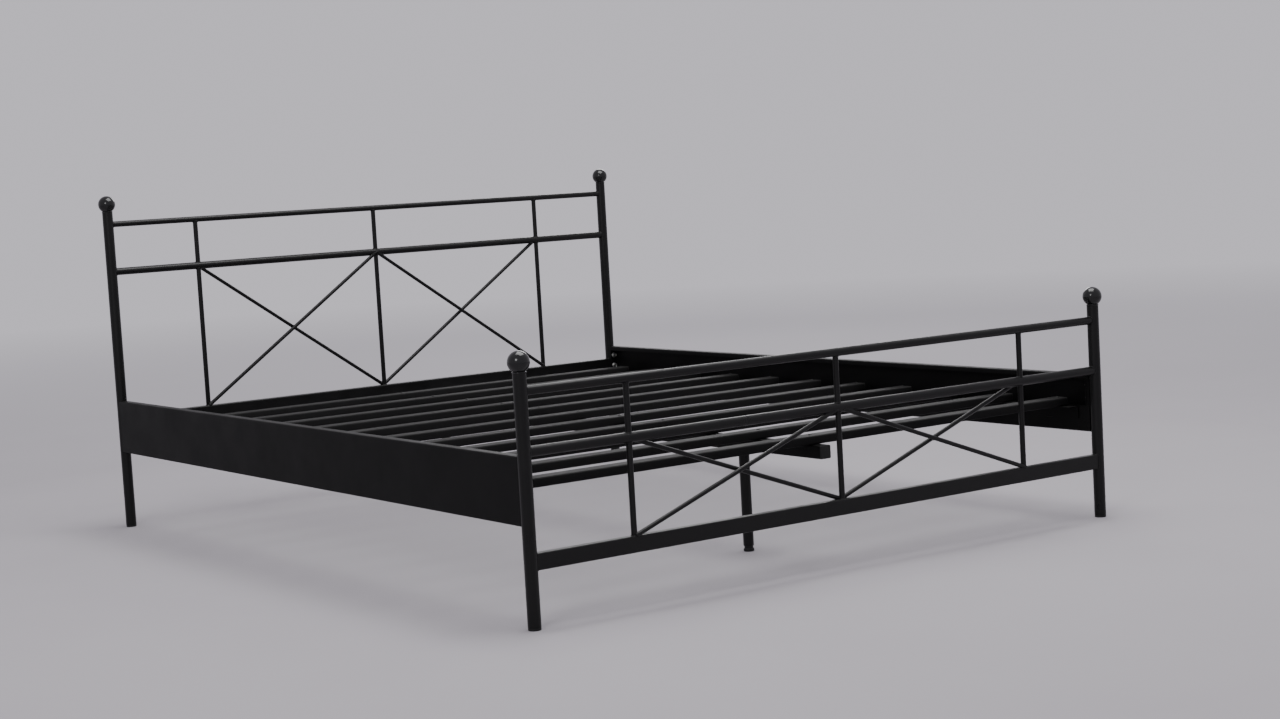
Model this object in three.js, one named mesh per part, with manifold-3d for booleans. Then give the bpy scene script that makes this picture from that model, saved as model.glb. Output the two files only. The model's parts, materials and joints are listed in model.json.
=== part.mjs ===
// Metal double bed frame for a 1600 x 2000 mm mattress.
//
// Units are millimetres. +Z is up, +Y points from the foot to the head, X runs
// across the bed. The origin is on the floor, under the middle of the bed.
// "left" is the -X side and "right" is the +X side.
//
// Two welded boards of round tube stand at the ends. Two folded side rails are
// bolted between their posts. The rails carry ledges, the ledges and a centre
// beam on two legs carry the slats.

import * as THREE from "three";
import { mergeVertices } from "three/addons/utils/BufferGeometryUtils.js";
import Module from "manifold-3d";

// ---- overall layout -------------------------------------------------------
const SPAN_X = 1640; // between the post axes, across the bed
const SPAN_Y = 2060; // between the post axes, along the bed
const GAP = 0.3; // left between pieces that touch
const DRILL_GAP = 0.3; // round a shank or bar in its hole, on the radius

// ---- boards ---------------------------------------------------------------
// Heights are above the floor. topTube and midTube are outside diameters.
const BOARDS = {
  head: { side: 1, ballZ: 891, topZ: 836, midZ: 706, lowTopZ: 310.5, topTube: 16, midTube: 20 },
  foot: { side: -1, ballZ: 538, topZ: 480, midZ: 358, lowTopZ: 154.5, topTube: 19, midTube: 22 },
};
const LOW_RAIL = { height: 35, depth: 20, corner: 3, wall: 1.5 };
const RAIL_WALL = 1.5;
const BAR = { diameter: 13, wall: 1.2, inset: 255 }; // inset is post axis to outer bar axis
const ROD_DIAMETER = 10;
const ROD_OVERRUN = 14; // extra length that the trimming removes

const POST = { diameter: 28, wall: 2 };
const BALL_DIAMETER = 46;
const FINIAL = { neckRadius: 13.4, collarRadius: 15, collarHeight: 2.5, spigotLength: 22 };
const GLIDE = { radius: 13.6, height: 4, chamfer: 1, spigotLength: 16 };

// ---- side rails and their ledges -----------------------------------------
const RAIL = { bottomZ: 209, topZ: 350, depth: 25, sheet: 1.5, topLip: 12, innerLipZ: 272 };
const SADDLE_REACH = 22; // post axis to the flat back of the rail's end saddle
const SADDLE_NOTCH = 4; // cut off the saddle's inner corner, to clear the boards' lower rails
const BOLT = { radius: 4, acrossFlats: 13, headHeight: 4.5, tip: 9 };
const WASHER = { radius: 8, height: 1.6 };
const BOLT_HEIGHTS = { lower: 290, upper: 322 };
const LEDGE = { width: 30, height: 30, sheet: 2, topZ: 270, endInset: 46 };

// ---- centre beam, legs and slats -------------------------------------------
const BEAM = { width: 30, height: 30, corner: 3, wall: 1.5, length: 1960 };
const LEG = { diameter: 25, wall: 1.5, y: SPAN_Y / 3, bottomZ: 13 };
const LEG_NUT = { diameter: 23.5, height: 10, bottomZ: 30 };
const LEG_PLATE = { width: 56, length: 70, thickness: 4, weldDepth: 3 };
const LEVELLER = { height: 7, chamfer: 1.2, neckRadius: 10.4, neckTopZ: 24, studRadius: 5, studTopZ: 60 };
const SLAT = { count: 11, pitch: 186, width: 44, height: 20, corner: 4, wall: 0.8, endClearance: 3 };

// ---- roundness ----------------------------------------------------------------
const BALL_SIDES = 24;
const BALL_STEPS = 8;
const POST_SIDES = 24;
const TUBE_SIDES = 16;
const ROD_SIDES = 12;
const CORNER_STEPS = 2;
const HEX_SIDES = 6;

const QUARTER_TURN = Math.PI / 2;
const WELD_TOLERANCE = 1e-4;

const wasm = await Module();
wasm.setup();

// ---- materials ----------------------------------------------------------------
const FINISHES = {
  frame: { color: 0x17181a, roughness: 0.42, metalness: 0.2 },
  finial: { color: 0x101113, roughness: 0.16, metalness: 0.3 },
  rail: { color: 0x1f2021, roughness: 0.62, metalness: 0.15 },
  slat: { color: 0x1b1c1d, roughness: 0.58, metalness: 0.15 },
  plastic: { color: 0x141414, roughness: 0.55, metalness: 0 },
  zinc: { color: 0x9a9c9e, roughness: 0.35, metalness: 0.9 },
};

/** Makes one named mesh with a material of its own. */
function piece(name, geometry, finish) {
  const mesh = new THREE.Mesh(geometry, new THREE.MeshStandardMaterial(FINISHES[finish]));
  mesh.name = name;
  return mesh;
}

// ---- solids that can be joined and cut -----------------------------------------

/** Turns a closed three.js geometry into a solid. */
function toSolid(geometry) {
  const bare = geometry.clone();
  bare.deleteAttribute("normal");
  bare.deleteAttribute("uv");
  const welded = mergeVertices(bare, WELD_TOLERANCE);
  const mesh = new wasm.Mesh({
    numProp: 3,
    vertProperties: new Float32Array(welded.attributes.position.array),
    triVerts: new Uint32Array(welded.index.array),
  });
  return new wasm.Manifold(mesh);
}

/** Turns a solid back into a three.js geometry. */
function toGeometry(solid) {
  const mesh = solid.getMesh();
  const geometry = new THREE.BufferGeometry();
  geometry.setAttribute("position", new THREE.BufferAttribute(mesh.vertProperties, 3));
  geometry.setIndex(new THREE.BufferAttribute(mesh.triVerts, 1));
  geometry.computeVertexNormals();
  return geometry;
}

/** Takes every cutter away from a geometry. */
function cut(geometry, cutters) {
  let solid = toSolid(geometry);
  for (const cutter of cutters) {
    solid = solid.subtract(toSolid(cutter));
  }
  return toGeometry(solid);
}

/** Joins geometries that overlap into one. */
function join(geometries) {
  const [first, ...others] = geometries.map(toSolid);
  return toGeometry(others.reduce((whole, next) => whole.add(next), first));
}

// ---- basic shapes ----------------------------------------------------------------
// Each stands on the XY plane and rises along +Z until it is turned.

/** A round bar. */
function roundBar(radius, length, sides) {
  const bar = new THREE.CylinderGeometry(radius, radius, length, sides);
  return bar.rotateX(QUARTER_TURN).translate(0, 0, length / 2);
}

/** A body of revolution from [radius, height] pairs, listed from the bottom up. */
function turned(outline, sides) {
  const points = outline.map(([radius, height]) => new THREE.Vector2(radius, height));
  return new THREE.LatheGeometry(points, sides).rotateX(QUARTER_TURN);
}

/** A round tube, open at both ends. */
function roundTube(diameter, wall, length, sides) {
  const outer = diameter / 2;
  const inner = outer - wall;
  return turned([[inner, 0], [outer, 0], [outer, length], [inner, length], [inner, 0]], sides);
}

/** Draws a rectangle with round corners, centred on the origin, into a path. */
function roundedRectangle(path, width, height, corner) {
  const x = width / 2 - corner;
  const y = height / 2 - corner;
  path.absarc(x, y, corner, 0, QUARTER_TURN);
  path.absarc(-x, y, corner, QUARTER_TURN, 2 * QUARTER_TURN);
  path.absarc(-x, -y, corner, 2 * QUARTER_TURN, 3 * QUARTER_TURN);
  path.absarc(x, -y, corner, 3 * QUARTER_TURN, 4 * QUARTER_TURN);
  path.closePath();
  return path;
}

/** Extrudes a shape along +Z. */
function extruded(shape, length) {
  const options = { depth: length, bevelEnabled: false, curveSegments: CORNER_STEPS };
  return new THREE.ExtrudeGeometry(shape, options);
}

/** A rectangular tube with round corners, open at both ends, width along X and height along Y. */
function boxTube({ width, height, corner, wall }, length) {
  const shape = roundedRectangle(new THREE.Shape(), width, height, corner);
  const bore = roundedRectangle(new THREE.Path(), width - 2 * wall, height - 2 * wall, corner - wall);
  shape.holes.push(bore);
  return extruded(shape, length);
}

/** Lays a shape that rises along +Z so that it runs along X, with its X along Y and its Y along Z. */
function alongX(geometry, length) {
  return geometry.rotateX(QUARTER_TURN).rotateZ(QUARTER_TURN).translate(-length / 2, 0, 0);
}

/** Lays a shape that rises along +Z so that it runs along Y, with its Y along Z. */
function alongY(geometry, length) {
  return geometry.rotateX(QUARTER_TURN).translate(0, length / 2, 0);
}

// ---- boards ------------------------------------------------------------------------

const POST_XS = { left: -SPAN_X / 2, right: SPAN_X / 2 };
const OUTER_BAR_X = SPAN_X / 2 - BAR.inset;
const BAR_XS = { left: -OUTER_BAR_X, centre: 0, right: OUTER_BAR_X };

/** Height of the flat underside of the finial's collar. */
function collarZ(board) {
  const neckDrop = Math.sqrt((BALL_DIAMETER / 2) ** 2 - FINIAL.neckRadius ** 2);
  return board.ballZ - neckDrop - FINIAL.collarHeight;
}

/** Space that a post fills, a little enlarged, to cope the ends of the rails. */
function postClearance(x, z0, z1) {
  return roundBar(POST.diameter / 2 + GAP, z1 - z0, POST_SIDES).translate(x, 0, z0);
}

/** Space that a round rail fills, a little enlarged. */
function railClearance(diameter, z) {
  return alongX(roundBar(diameter / 2 + GAP, SPAN_X, TUBE_SIDES), SPAN_X).translate(0, 0, z);
}

/** Space that a vertical bar fills, a little enlarged. */
function barClearance(x, z0, z1) {
  return roundBar(BAR.diameter / 2 + GAP, z1 - z0, TUBE_SIDES).translate(x, 0, z0);
}

/** Post tube, drilled on the side of the mattress for the two rail bolts. */
function postGeometry(board) {
  const bottom = GLIDE.height + GAP;
  const tube = roundTube(POST.diameter, POST.wall, collarZ(board) - GAP - bottom, POST_SIDES);
  tube.translate(0, 0, bottom);
  const drills = Object.values(BOLT_HEIGHTS).map((z) => {
    const drill = roundBar(BOLT.radius + DRILL_GAP, POST.diameter, ROD_SIDES);
    return drill.rotateX(board.side * QUARTER_TURN).translate(0, 0, z);
  });
  return cut(tube, drills);
}

/** Ball finial with its collar and the spigot that plugs the post. */
function finialGeometry(board) {
  const radius = BALL_DIAMETER / 2;
  const collarBottom = collarZ(board);
  const collarTop = collarBottom + FINIAL.collarHeight;
  const spigotRadius = POST.diameter / 2 - POST.wall - GAP;
  const outline = [
    [0, collarBottom - FINIAL.spigotLength],
    [spigotRadius, collarBottom - FINIAL.spigotLength],
    [spigotRadius, collarBottom],
    [FINIAL.collarRadius, collarBottom],
    [FINIAL.collarRadius, collarTop],
  ];
  const start = Math.asin(FINIAL.neckRadius / radius);
  for (let step = 0; step < BALL_STEPS; step += 1) {
    const angle = start + ((Math.PI - start) * step) / BALL_STEPS;
    outline.push([radius * Math.sin(angle), board.ballZ - radius * Math.cos(angle)]);
  }
  outline.push([0, board.ballZ + radius]);
  return turned(outline, BALL_SIDES);
}

/** Plastic plug under a post. */
function glideGeometry() {
  const spigotRadius = POST.diameter / 2 - POST.wall - GAP;
  const outline = [
    [0, 0],
    [GLIDE.radius - GLIDE.chamfer, 0],
    [GLIDE.radius, GLIDE.chamfer],
    [GLIDE.radius, GLIDE.height],
    [spigotRadius, GLIDE.height],
    [spigotRadius, GLIDE.height + GLIDE.spigotLength],
    [0, GLIDE.height + GLIDE.spigotLength],
  ];
  return turned(outline, TUBE_SIDES);
}

/** Round rail between the posts, coped round them, with a hole for each bar that passes through. */
function roundRailGeometry(diameter, z, barXs) {
  const tube = alongX(roundTube(diameter, RAIL_WALL, SPAN_X, TUBE_SIDES), SPAN_X);
  tube.translate(0, 0, z);
  const posts = Object.values(POST_XS).map((x) => postClearance(x, z - diameter, z + diameter));
  const bars = barXs.map((x) => barClearance(x, z - diameter, z + diameter));
  return cut(tube, [...posts, ...bars]);
}

/** Flat-sided lower rail, coped round the posts. */
function lowRailGeometry(topZ) {
  const { height, depth, corner, wall } = LOW_RAIL;
  const tube = alongX(boxTube({ width: depth, height, corner, wall }, SPAN_X), SPAN_X);
  tube.translate(0, 0, topZ - height / 2);
  const posts = Object.values(POST_XS).map((x) => postClearance(x, topZ - 2 * height, topZ + height));
  return cut(tube, posts);
}

/** Vertical bar from the lower rail to the underside of the top rail, through the middle rail. */
function barGeometry(board, x) {
  const bottom = board.lowTopZ + GAP;
  const tube = roundTube(BAR.diameter, BAR.wall, board.topZ - bottom, TUBE_SIDES);
  tube.translate(x, 0, bottom);
  return cut(tube, [railClearance(board.topTube, board.topZ)]);
}

/**
 * Diagonal rod of one bay. It runs from the middle rail's axis at fromX down to
 * the lower rail's top at toX, on the +Y or -Y side of the board's middle plane.
 */
function rodGeometry(board, fromX, toX, ySide) {
  const top = new THREE.Vector3(fromX, 0, board.midZ);
  const bottom = new THREE.Vector3(toX, 0, board.lowTopZ);
  const along = top.clone().sub(bottom);
  const length = along.length() + 2 * ROD_OVERRUN;
  const rod = roundBar(ROD_DIAMETER / 2, length, ROD_SIDES).translate(0, 0, -ROD_OVERRUN);
  const turn = new THREE.Quaternion().setFromUnitVectors(new THREE.Vector3(0, 0, 1), along.normalize());
  rod.applyQuaternion(turn);
  const offset = ySide * (ROD_DIAMETER + GAP) / 2;
  rod.translate(bottom.x, offset, bottom.z);

  const bayWidth = Math.abs(toX - fromX) - GAP;
  const bayHeight = board.midZ - board.lowTopZ - GAP;
  const bay = new THREE.BoxGeometry(bayWidth, POST.diameter, bayHeight);
  bay.translate((fromX + toX) / 2, 0, (board.midZ + board.lowTopZ + GAP) / 2);
  const trimmed = toGeometry(toSolid(rod).intersect(toSolid(bay)));
  return cut(trimmed, [
    railClearance(board.midTube, board.midZ),
    barClearance(fromX, board.lowTopZ, board.topZ),
    barClearance(toX, board.lowTopZ, board.topZ),
  ]);
}

/** The four rods of a board: two crossed pairs either side of the centre bar. */
function rods(name, board) {
  const bays = { left: BAR_XS.left, right: BAR_XS.right };
  return Object.entries(bays).flatMap(([bay, outerX]) => [
    piece(`${name}_rod_${bay}_inner`, rodGeometry(board, BAR_XS.centre, outerX, -1), "frame"),
    piece(`${name}_rod_${bay}_outer`, rodGeometry(board, outerX, BAR_XS.centre, 1), "frame"),
  ]);
}

/** A whole headboard or footboard. */
function boardGroup(name, board) {
  const group = new THREE.Group();
  group.position.y = (board.side * SPAN_Y) / 2;
  for (const [hand, x] of Object.entries(POST_XS)) {
    const corner = new THREE.Group();
    corner.position.x = x;
    corner.add(
      piece(`${name}_post_${hand}`, postGeometry(board), "frame"),
      piece(`${name}_finial_${hand}`, finialGeometry(board), "finial"),
      piece(`${name}_glide_${hand}`, glideGeometry(), "plastic"),
    );
    group.add(corner);
  }
  const barXs = Object.values(BAR_XS);
  group.add(
    piece(`${name}_top_rail`, roundRailGeometry(board.topTube, board.topZ, []), "frame"),
    piece(`${name}_middle_rail`, roundRailGeometry(board.midTube, board.midZ, barXs), "frame"),
    piece(`${name}_lower_rail`, lowRailGeometry(board.lowTopZ), "frame"),
  );
  for (const [place, x] of Object.entries(BAR_XS)) {
    group.add(piece(`${name}_bar_${place}`, barGeometry(board, x), "frame"));
  }
  group.add(...rods(name, board));
  return group;
}

// ---- side rails ------------------------------------------------------------------

/** Extrudes an outline of [x, z] corners along Y, centred on y = 0. */
function profileAlongY(corners, length) {
  const shape = new THREE.Shape(corners.map(([x, z]) => new THREE.Vector2(x, z)));
  return alongY(extruded(shape, length), length);
}

/** Folded channel of a side rail. x = 0 is the post axis and +x points into the bed. */
function channelOutline() {
  const { bottomZ, topZ, depth, sheet, topLip, innerLipZ } = RAIL;
  const outer = -depth / 2;
  const inner = depth / 2;
  return [
    [outer, bottomZ],
    [inner, bottomZ],
    [inner, innerLipZ],
    [inner - sheet, innerLipZ],
    [inner - sheet, bottomZ + sheet],
    [outer + sheet, bottomZ + sheet],
    [outer + sheet, topZ - sheet],
    [inner - sheet, topZ - sheet],
    [inner - sheet, topZ - topLip],
    [inner, topZ - topLip],
    [inner, topZ],
    [outer, topZ],
  ];
}

/** Side rail: the channel with a saddle at each end that sits on the post. */
function sideRailGeometry() {
  const height = RAIL.topZ - RAIL.bottomZ;
  const middleZ = (RAIL.topZ + RAIL.bottomZ) / 2;
  const channel = profileAlongY(channelOutline(), SPAN_Y);
  const saddles = [-1, 1].map((end) => {
    const block = new THREE.BoxGeometry(RAIL.depth, SADDLE_REACH, height);
    return block.translate(0, (end * (SPAN_Y - SADDLE_REACH)) / 2, middleZ);
  });
  const whole = join([channel, ...saddles]);
  const cutters = [-1, 1].flatMap((end) => {
    const post = postClearance(0, 0, RAIL.bottomZ + RAIL.topZ).translate(0, (end * SPAN_Y) / 2, 0);
    const notch = new THREE.BoxGeometry(2 * SADDLE_NOTCH, LOW_RAIL.depth + 2 * GAP, 2 * height);
    notch.translate(RAIL.depth / 2, (end * SPAN_Y) / 2, middleZ);
    const drills = Object.values(BOLT_HEIGHTS).map((z) => {
      const drill = roundBar(BOLT.radius + DRILL_GAP, 2 * SADDLE_REACH, ROD_SIDES);
      return drill.rotateX(end * QUARTER_TURN).translate(0, (end * SPAN_Y) / 2, z);
    });
    return [post, notch, ...drills];
  });
  return cut(whole, cutters);
}

/** Angle that carries the slat ends, against the inside face of the side rail. */
function ledgeGeometry() {
  const { width, height, sheet, topZ, endInset } = LEDGE;
  const back = RAIL.depth / 2 + GAP;
  const outline = [
    [back, topZ - height],
    [back + sheet, topZ - height],
    [back + sheet, topZ - sheet],
    [back + width, topZ - sheet],
    [back + width, topZ],
    [back, topZ],
  ];
  return profileAlongY(outline, SPAN_Y - 2 * endInset);
}

/** Hexagon bolt with its washer face. The head's seat is at z = 0 and the shank points down. */
function boltGeometry() {
  const shankLength = SADDLE_REACH - POST.diameter / 2 + POST.wall + BOLT.tip;
  const cornerRadius = BOLT.acrossFlats / 2 / Math.cos(Math.PI / HEX_SIDES);
  const shank = roundBar(BOLT.radius, shankLength + WASHER.height, ROD_SIDES);
  shank.translate(0, 0, -shankLength);
  const washer = roundBar(WASHER.radius, WASHER.height, TUBE_SIDES);
  const head = roundBar(cornerRadius, WASHER.height + BOLT.headHeight, HEX_SIDES);
  return join([shank, washer, head]);
}

/** One side of the bed: rail, ledge and the two bolts at each end. */
function sideGroup(hand) {
  const group = new THREE.Group();
  group.position.x = POST_XS[hand];
  group.rotation.z = hand === "right" ? Math.PI : 0;
  group.add(
    piece(`side_rail_${hand}`, sideRailGeometry(), "rail"),
    piece(`slat_ledge_${hand}`, ledgeGeometry(), "rail"),
  );
  for (const [end, board] of Object.entries(BOARDS)) {
    const side = hand === "right" ? -board.side : board.side;
    for (const [level, z] of Object.entries(BOLT_HEIGHTS)) {
      const bolt = piece(`rail_bolt_${end}_${hand}_${level}`, boltGeometry(), "zinc");
      bolt.position.set(0, side * (SPAN_Y / 2 - SADDLE_REACH - GAP), z);
      bolt.rotation.x = side * QUARTER_TURN;
      group.add(bolt);
    }
  }
  return group;
}

// ---- centre support and slats --------------------------------------------------------

const BEAM_BOTTOM_Z = LEDGE.topZ - BEAM.height;

/** Square centre beam, open at both ends. */
function beamGeometry() {
  const beam = alongY(boxTube(BEAM, BEAM.length), BEAM.length);
  return beam.translate(0, 0, BEAM_BOTTOM_Z + BEAM.height / 2);
}

/** Centre leg: tube with a head plate under the beam and a round nut fixed inside it. */
function legGeometry() {
  const plateTop = BEAM_BOTTOM_Z - GAP;
  const plateBottom = plateTop - LEG_PLATE.thickness;
  const tubeLength = plateBottom + LEG_PLATE.weldDepth - LEG.bottomZ;
  const tube = roundTube(LEG.diameter, LEG.wall, tubeLength, POST_SIDES);
  tube.translate(0, 0, LEG.bottomZ);
  const plate = new THREE.BoxGeometry(LEG_PLATE.width, LEG_PLATE.length, LEG_PLATE.thickness);
  plate.translate(0, 0, (plateTop + plateBottom) / 2);
  const nut = roundBar(LEG_NUT.diameter / 2, LEG_NUT.height, POST_SIDES);
  nut.translate(0, 0, LEG_NUT.bottomZ);
  const bore = roundBar(LEVELLER.studRadius + DRILL_GAP, LEVELLER.studTopZ, ROD_SIDES);
  return cut(join([tube, plate, nut]), [bore]);
}

/** Levelling foot: a plastic disc whose neck slides in the leg, on a stud that screws into the nut. */
function levellingFootGeometry() {
  const radius = LEG.diameter / 2;
  const outline = [
    [0, 0],
    [radius - LEVELLER.chamfer, 0],
    [radius, LEVELLER.chamfer],
    [radius, LEVELLER.height],
    [LEVELLER.neckRadius, LEVELLER.height],
    [LEVELLER.neckRadius, LEVELLER.neckTopZ],
    [LEVELLER.studRadius, LEVELLER.neckTopZ],
    [LEVELLER.studRadius, LEVELLER.studTopZ],
    [0, LEVELLER.studTopZ],
  ];
  return turned(outline, TUBE_SIDES);
}

/** The beam with its two legs. */
function centreSupportGroup() {
  const group = new THREE.Group();
  group.add(piece("centre_beam", beamGeometry(), "rail"));
  for (const [end, board] of Object.entries(BOARDS)) {
    const leg = new THREE.Group();
    leg.position.y = board.side * LEG.y;
    leg.add(
      piece(`centre_leg_${end}_end`, legGeometry(), "frame"),
      piece(`levelling_foot_${end}_end`, levellingFootGeometry(), "plastic"),
    );
    group.add(leg);
  }
  return group;
}

/** Row of flat-oval steel slats lying on the ledges and the beam. */
function slatGroup() {
  const group = new THREE.Group();
  const length = SPAN_X - RAIL.depth - 2 * SLAT.endClearance;
  const firstY = (-SLAT.pitch * (SLAT.count - 1)) / 2;
  for (let index = 0; index < SLAT.count; index += 1) {
    const number = String(index + 1).padStart(2, "0");
    const slat = piece(`slat_${number}`, alongX(boxTube(SLAT, length), length), "slat");
    slat.position.set(0, firstY + index * SLAT.pitch, LEDGE.topZ + GAP + SLAT.height / 2);
    group.add(slat);
  }
  return group;
}

const bed = new THREE.Group();
for (const [name, board] of Object.entries(BOARDS)) {
  bed.add(boardGroup(name, board));
}
bed.add(sideGroup("left"), sideGroup("right"), centreSupportGroup(), slatGroup());

export default bed;
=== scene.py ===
"""Metal double bed frame in a plain studio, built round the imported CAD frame."""
import json
import math

import bmesh
import bpy
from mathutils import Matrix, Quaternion, Vector


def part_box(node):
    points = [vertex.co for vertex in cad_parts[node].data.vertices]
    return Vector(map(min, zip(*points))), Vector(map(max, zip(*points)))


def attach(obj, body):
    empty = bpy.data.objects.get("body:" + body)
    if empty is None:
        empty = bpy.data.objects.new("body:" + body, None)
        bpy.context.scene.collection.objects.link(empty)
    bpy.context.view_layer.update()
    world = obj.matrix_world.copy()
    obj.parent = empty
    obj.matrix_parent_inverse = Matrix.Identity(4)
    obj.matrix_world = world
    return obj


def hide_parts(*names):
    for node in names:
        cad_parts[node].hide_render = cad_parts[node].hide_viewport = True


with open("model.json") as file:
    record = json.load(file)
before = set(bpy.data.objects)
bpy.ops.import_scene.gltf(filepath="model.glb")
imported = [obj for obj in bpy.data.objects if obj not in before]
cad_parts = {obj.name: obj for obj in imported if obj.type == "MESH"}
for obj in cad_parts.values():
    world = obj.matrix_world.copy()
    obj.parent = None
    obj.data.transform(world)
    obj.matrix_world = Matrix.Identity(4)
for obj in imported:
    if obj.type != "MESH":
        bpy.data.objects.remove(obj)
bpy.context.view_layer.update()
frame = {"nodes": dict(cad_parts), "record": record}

MM = 0.001

# ---- layout read from the frame --------------------------------------------
HANDS = ("left", "right")
ENDS = ("head", "foot")
BARS = ("left", "centre", "right")
X_AXIS = Vector((1, 0, 0))
Y_AXIS = Vector((0, 1, 0))
Z_AXIS = Vector((0, 0, 1))
QUARTER = math.pi / 2


def middle(node):
    """Centre of a CAD node's box."""
    low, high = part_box(node)
    return (low + high) / 2


def size(node):
    """Width, depth and height of a CAD node's box."""
    low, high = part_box(node)
    return high - low


def body_of_node(node):
    """Name of the CAD body that a node belongs to."""
    bodies = frame["record"]["behaviour"]["bodies"]
    return next(name for name, members in bodies.items() if node in members)


# ---- detail sizes that the frame does not hold -------------------------------
TUBE_SIDES = 48
SMALL_SIDES = 32
BALL_SIDES = 72
BALL_RINGS = 40
CORNER_STEPS = 5

RIM_CHAMFER = 0.6 * MM
WELD_RADIUS = 1.5 * MM
WELD_SIDES = 8
WELD_RIPPLE = 0.10

COLLAR_RADIUS = 15 * MM
COLLAR_ROUNDING = 0.8 * MM
NECK_RADIUS = 13.4 * MM
GROOVE_RADIUS = 12.6 * MM
GROOVE_HEIGHT = 0.5 * MM

BEND_RADIUS = 3 * MM
SHEET_STEP = 2.5 * MM
RAIL_WALL = 1.5 * MM
RAIL_TOP_LIP = 12 * MM
RAIL_LIP_ABOVE_LEDGE = 2 * MM
RAIL_NOTCH_FROM = 8.5 * MM
RAIL_NOTCH_REACH = 10.3 * MM
SADDLE_BACK = 22 * MM
SADDLE_GAP = 0.1 * MM
SADDLE_STEPS = 24
SEAM_CORNER = 2 * MM
SEAM_STEP = 3 * MM
LEDGE_WALL = 2 * MM
STITCH_COUNT = 10
STITCH_LENGTH = 28 * MM
STITCH_RADIUS = 1.6 * MM
TUBE_CORNER = 3 * MM
TUBE_RIM_STEP = 2 * MM

BOLT_FLATS = 13 * MM
BOLT_CORNER_CUT = 6.35 * MM
BOLT_HEAD = 4.5 * MM
BOLT_FLANGE = 1.6 * MM
BOLT_SHANK = 12 * MM
SHANK_RADIUS = 4 * MM
SCREW_HEAD_RADIUS = 4.6 * MM
SCREW_HEAD_HEIGHT = 2.4 * MM

SLAT_WALL = 0.8 * MM
SLAT_CORNER = 4 * MM
LEG_WALL = 1.5 * MM
LEG_PLATE = 4 * MM
LEG_PLATE_CORNER = 6 * MM
LEG_SCREW_INSET = 11 * MM
NUT_LOW = 30 * MM
NUT_HIGH = 40 * MM
NUT_BORE = 5.3 * MM
FOOT_DISC_TOP = 7 * MM
FOOT_NECK_RADIUS = 10.4 * MM
FOOT_NECK_TOP = 24 * MM
FOOT_KNURLS = 36
THREAD_RADIUS = 4.9 * MM
THREAD_PITCH = 1.5 * MM
THREAD_DEPTH = 0.75 * MM

# ---- studio values -------------------------------------------------------------
SKY = (0.725, 0.70, 0.76, 1.0)
SKY_STRENGTH = 0.90
FLOOR_HALF = 60.0
# name: (place, aim, width, power in watts)
LIGHTS = {
    "overhead": ((0.4, -0.6, 4.4), (0.0, 0.0, 0.2), 3.2, 230.0),
    "front_left": ((-4.4, -3.4, 2.8), (0.0, 0.0, 0.4), 1.4, 70.0),
    "back_right": ((3.8, 4.2, 3.0), (0.0, 0.0, 0.4), 2.4, 80.0),
}
CAMERA_PLACE = (-3.084, -4.634, 0.899)
CAMERA_AZIMUTH = math.radians(-35.37)
CAMERA_ELEVATION = math.radians(4.97)
CAMERA_ROLL = math.radians(-3.24)
CAMERA_LENS = 60.75


# ---- mesh building -------------------------------------------------------------

def add_piece(name, parts, slot, body, stands_for=(), sharp=32):
    """Makes one object from closed parts, each a (corners, faces) pair, and ties it to the frame."""
    corners, faces = [], []
    for part_corners, part_faces in parts:
        start = len(corners)
        corners += [tuple(corner) for corner in part_corners]
        faces += [tuple(start + index for index in face) for face in part_faces]
    mesh = bpy.data.meshes.new(name)
    mesh.from_pydata(corners, [], faces)
    shell = bmesh.new()
    shell.from_mesh(mesh)
    bmesh.ops.recalc_face_normals(shell, faces=shell.faces)
    shell.to_mesh(mesh)
    shell.free()
    mesh.shade_smooth()
    mesh.set_sharp_from_angle(angle=math.radians(sharp))
    piece = bpy.data.objects.new(name, mesh)
    bpy.context.scene.collection.objects.link(piece)
    mesh.materials.append(MATERIALS[slot])
    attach(piece, body)
    if stands_for:
        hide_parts(*stands_for)
    return piece


def loft(rings, closed_ends=True):
    """Skin over rings of equal length. Each end is closed by a fan round its middle."""
    count = len(rings[0])
    corners = [corner for ring in rings for corner in ring]
    faces = []
    for level in range(len(rings) - 1):
        for index in range(count):
            after = (index + 1) % count
            low, high = level * count, (level + 1) * count
            faces.append((low + index, low + after, high + after, high + index))
    if closed_ends:
        for ring, start in ((rings[0], 0), (rings[-1], (len(rings) - 1) * count)):
            hub = len(corners)
            corners.append(sum(ring, Vector()) / count)
            faces += [(start + index, start + (index + 1) % count, hub) for index in range(count)]
    return corners, faces


def torus_loft(rings):
    """Skin over rings that close on themselves, such as a bead or a tube with a wall."""
    corners, faces = loft(rings + [rings[0]], closed_ends=False)
    count = len(rings[0])
    whole = len(rings) * count
    return corners[:whole], [tuple(index % whole for index in face) for face in faces]


def across(way):
    """Two unit vectors square to a direction."""
    helper = Z_AXIS if abs(way.z) < 0.9 else X_AXIS
    first = way.cross(helper).normalized()
    return first, way.cross(first).normalized()


def ring(centre, radius, first, second, sides):
    """Circle of corners round a centre."""
    turn = 2 * math.pi / sides
    spokes = [(math.cos(turn * k), math.sin(turn * k)) for k in range(sides)]
    return [centre + radius * (c * first + s * second) for c, s in spokes]


def arc(across_at, up_at, radius, start, end, steps):
    """Arc of a section round a centre, as (across, up) pairs from one angle to another."""
    angles = [start + (end - start) * k / steps for k in range(steps + 1)]
    return [(across_at + radius * math.cos(angle), up_at + radius * math.sin(angle)) for angle in angles]


def rounded_rectangle(width, height, corner, steps=CORNER_STEPS):
    """Corners of a rectangle with round corners, as (across, up) pairs."""
    points = []
    for index, (sign_x, sign_y) in enumerate(((1, 1), (-1, 1), (-1, -1), (1, -1))):
        start = QUARTER * index
        points += arc(sign_x * (width / 2 - corner), sign_y * (height / 2 - corner), corner,
                      start, start + QUARTER, steps)
    return points


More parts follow.
